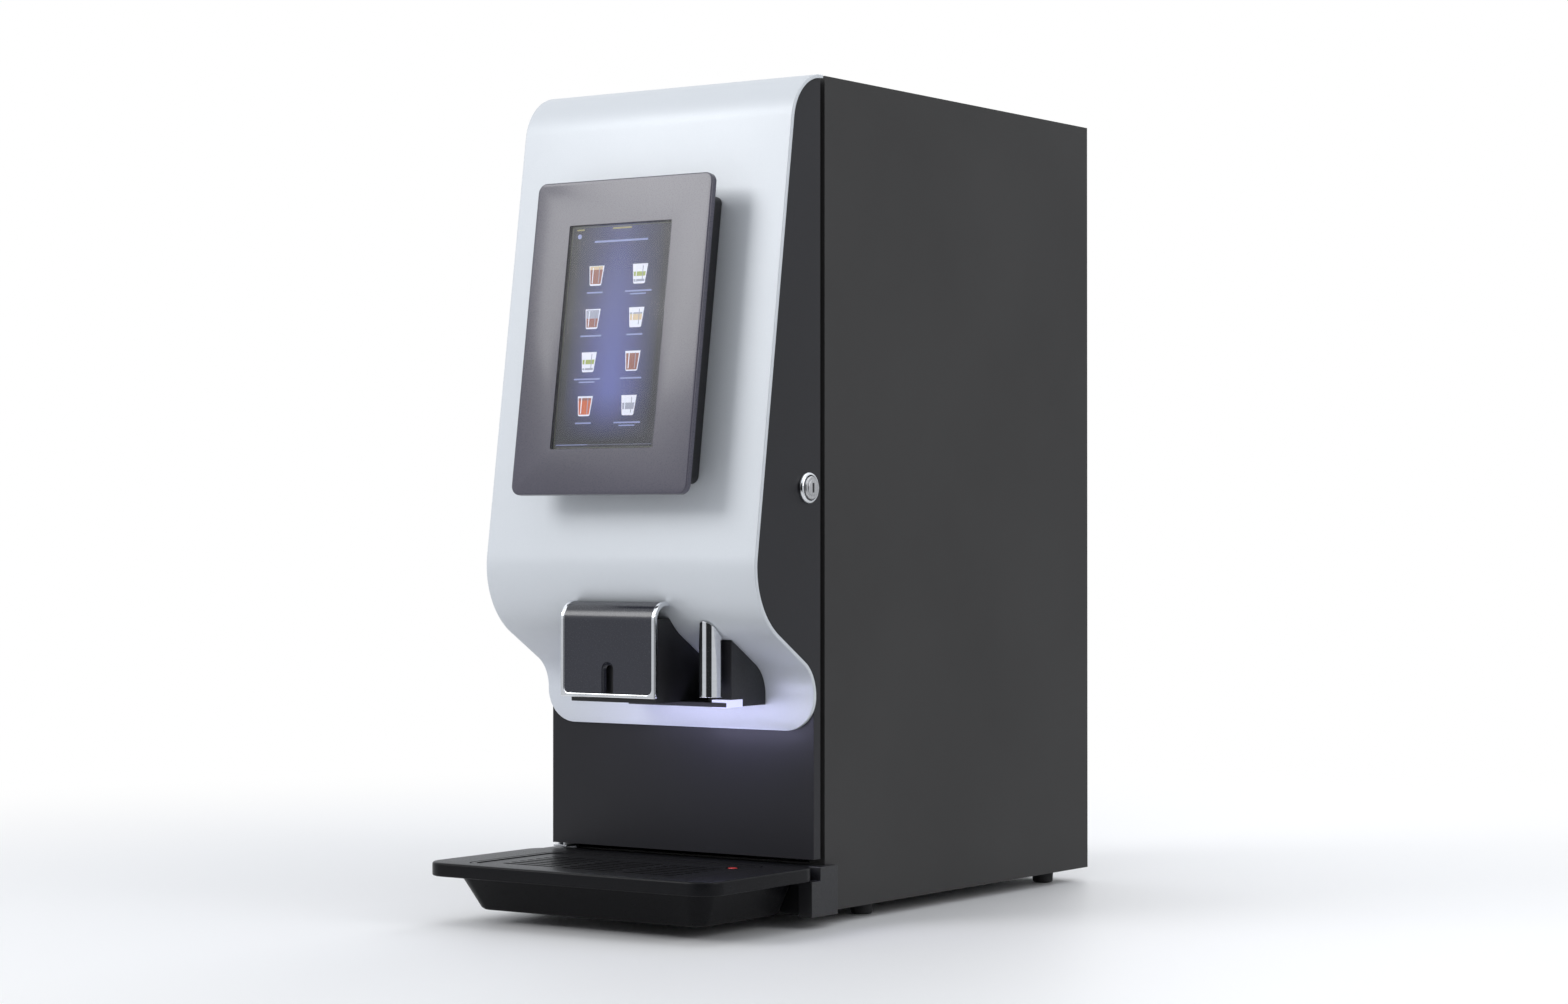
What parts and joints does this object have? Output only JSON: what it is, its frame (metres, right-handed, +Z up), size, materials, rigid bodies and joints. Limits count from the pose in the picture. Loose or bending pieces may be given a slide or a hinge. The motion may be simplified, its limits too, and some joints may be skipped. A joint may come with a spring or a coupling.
{
  "type": "hot coffee vending machine",
  "caption": "Narrow table-top hot drinks machine with a curved silver door front, touch screen, spout, drip tray and a black cabinet.",
  "frame": {"origin": "on the counter, under the middle of the machine's box", "axes": "+Z up, -Y towards the person using it, +X to that person's right"},
  "size_m": [0.271, 0.58, 0.6455],
  "materials": {
    "silver_fascia": "satin silver lacquer",
    "cabinet_powder_coat": "fine-texture matt black powder coat",
    "black_moulding": "satin black moulded plastic",
    "tray_plastic": "lightly grained black plastic",
    "bezel": "dark blue-grey satin",
    "screen_glass": "dark gloss glass over a lit display",
    "chrome_trim": "polished",
    "bare_steel": "plain sheet and turned steel",
    "canister_plastic": "translucent white",
    "white_moulding": "off-white moulded plastic",
    "hose": "milky silicone rubber",
    "light_lens": "lit diffuser",
    "foot_rubber": "matt rubber",
    "valve_brass": "plain machined brass",
    "board": "coated circuit board",
    "float_red": "red moulded plastic"
  },
  "bodies": {
    "cabinet": {"cabinet_shell": "cabinet_powder_coat", "base_plate": "cabinet_powder_coat", "back_panel": "cabinet_powder_coat", "foot_front_left": "foot_rubber", "foot_front_right": "foot_rubber", "foot_rear_left": "foot_rubber", "foot_rear_right": "foot_rubber", "tray_bracket": "black_moulding", "inner_frame": "bare_steel", "boiler": "bare_steel", "inlet_valve": "valve_brass", "canister_left": "canister_plastic", "canister_middle": "canister_plastic", "canister_right": "canister_plastic", "auger_motor_left": "bare_steel", "auger_motor_middle": "bare_steel", "auger_motor_right": "bare_steel", "mixer_motor_left": "bare_steel", "mixer_bowl_left": "white_moulding", "outlet_hose_left": "hose", "mixer_motor_right": "bare_steel", "mixer_bowl_right": "white_moulding", "outlet_hose_right": "hose", "fan_housing": "black_moulding", "power_supply": "bare_steel", "control_board": "board", "mains_inlet": "black_moulding", "hinge_bracket_upper": "bare_steel", "hinge_bracket_lower": "bare_steel"},
    "door": {"door_shell": "black_moulding", "fascia": "silver_fascia", "door_liner": "black_moulding", "screen_housing": "black_moulding", "screen_bezel": "bezel", "touch_glass": "screen_glass", "outlet_housing": "black_moulding", "spout_cover": "black_moulding", "spout_trim": "chrome_trim", "nozzle_block": "black_moulding", "hot_water_tube": "bare_steel", "water_cover": "chrome_trim", "cup_light_lens": "light_lens", "lock_ring": "chrome_trim"},
    "lock": {"lock_barrel": "chrome_trim"},
    "tray": {"drip_tray": "tray_plastic"},
    "grid": {"drip_grid": "tray_plastic"},
    "float": {"tray_float": "float_red"},
    "auger_left": {"auger_left": "white_moulding"},
    "lid_left": {"canister_lid_left": "black_moulding"},
    "outlet_left": {"canister_outlet_left": "white_moulding"},
    "auger_middle": {"auger_middle": "white_moulding"},
    "lid_middle": {"canister_lid_middle": "black_moulding"},
    "outlet_middle": {"canister_outlet_middle": "white_moulding"},
    "auger_right": {"auger_right": "white_moulding"},
    "lid_right": {"canister_lid_right": "black_moulding"},
    "outlet_right": {"canister_outlet_right": "white_moulding"},
    "impeller_left": {"mixer_impeller_left": "white_moulding"},
    "impeller_right": {"mixer_impeller_right": "white_moulding"},
    "fan": {"fan_impeller": "black_moulding"},
    "switch": {"main_switch_rocker": "black_moulding"}
  },
  "joints": [
    {"name": "door_hinge", "type": "hinge", "parent": "cabinet", "child": "door", "pos_m": [-0.1215, -0.1375, 0.34], "axis": [0, 0, -1], "range_deg": [0, 105]},
    {"name": "lock_turn", "type": "hinge", "parent": "door", "child": "lock", "pos_m": [0.126, -0.15, 0.332], "axis": [-1, 0, 0], "range_deg": [0, 90]},
    {"name": "tray_slide", "type": "slide", "parent": "cabinet", "child": "tray", "axis": [0, -1, 0], "range_m": [0, 0.12]},
    {"name": "grid_lift", "type": "slide", "parent": "tray", "child": "grid", "axis": [0, 0, 1], "range_m": [0, 0.06]},
    {"name": "float_rise", "type": "slide", "parent": "tray", "child": "float", "axis": [0, 0, 1], "range_m": [0, 0.006]},
    {"name": "auger_left_turn", "type": "hinge", "parent": "cabinet", "child": "auger_left", "pos_m": [-0.077, 0, 0.377], "axis": [0, 1, 0], "continuous": true},
    {"name": "lid_left_open", "type": "hinge", "parent": "cabinet", "child": "lid_left", "pos_m": [-0.077, 0.031, 0.5835], "axis": [-1, 0, 0], "range_deg": [0, 28]},
    {"name": "outlet_left_turn", "type": "hinge", "parent": "cabinet", "child": "outlet_left", "pos_m": [-0.077, -0.0756, 0.377], "axis": [0, 1, 0], "range_deg": [0, 90]},
    {"name": "auger_middle_turn", "type": "hinge", "parent": "cabinet", "child": "auger_middle", "pos_m": [0, 0, 0.377], "axis": [0, 1, 0], "continuous": true},
    {"name": "lid_middle_open", "type": "hinge", "parent": "cabinet", "child": "lid_middle", "pos_m": [0, 0.031, 0.5835], "axis": [-1, 0, 0], "range_deg": [0, 28]},
    {"name": "outlet_middle_turn", "type": "hinge", "parent": "cabinet", "child": "outlet_middle", "pos_m": [0, -0.0756, 0.377], "axis": [0, 1, 0], "range_deg": [0, 90]},
    {"name": "auger_right_turn", "type": "hinge", "parent": "cabinet", "child": "auger_right", "pos_m": [0.077, 0, 0.377], "axis": [0, 1, 0], "continuous": true},
    {"name": "lid_right_open", "type": "hinge", "parent": "cabinet", "child": "lid_right", "pos_m": [0.077, 0.031, 0.5835], "axis": [-1, 0, 0], "range_deg": [0, 28]},
    {"name": "outlet_right_turn", "type": "hinge", "parent": "cabinet", "child": "outlet_right", "pos_m": [0.077, -0.0756, 0.377], "axis": [0, 1, 0], "range_deg": [0, 90]},
    {"name": "mixer_left_spin", "type": "hinge", "parent": "cabinet", "child": "impeller_left", "pos_m": [-0.0415, -0.082, 0.262], "axis": [0, 1, 0], "continuous": true},
    {"name": "mixer_right_spin", "type": "hinge", "parent": "cabinet", "child": "impeller_right", "pos_m": [0.0575, -0.082, 0.262], "axis": [0, 1, 0], "continuous": true},
    {"name": "fan_spin", "type": "hinge", "parent": "cabinet", "child": "fan", "pos_m": [0, 0.2645, 0.54], "axis": [0, 1, 0], "continuous": true},
    {"name": "main_switch_rock", "type": "hinge", "parent": "cabinet", "child": "switch", "pos_m": [0.06, 0.2725, 0.046], "axis": [1, 0, 0], "range_deg": [0, 14]}
  ]
}
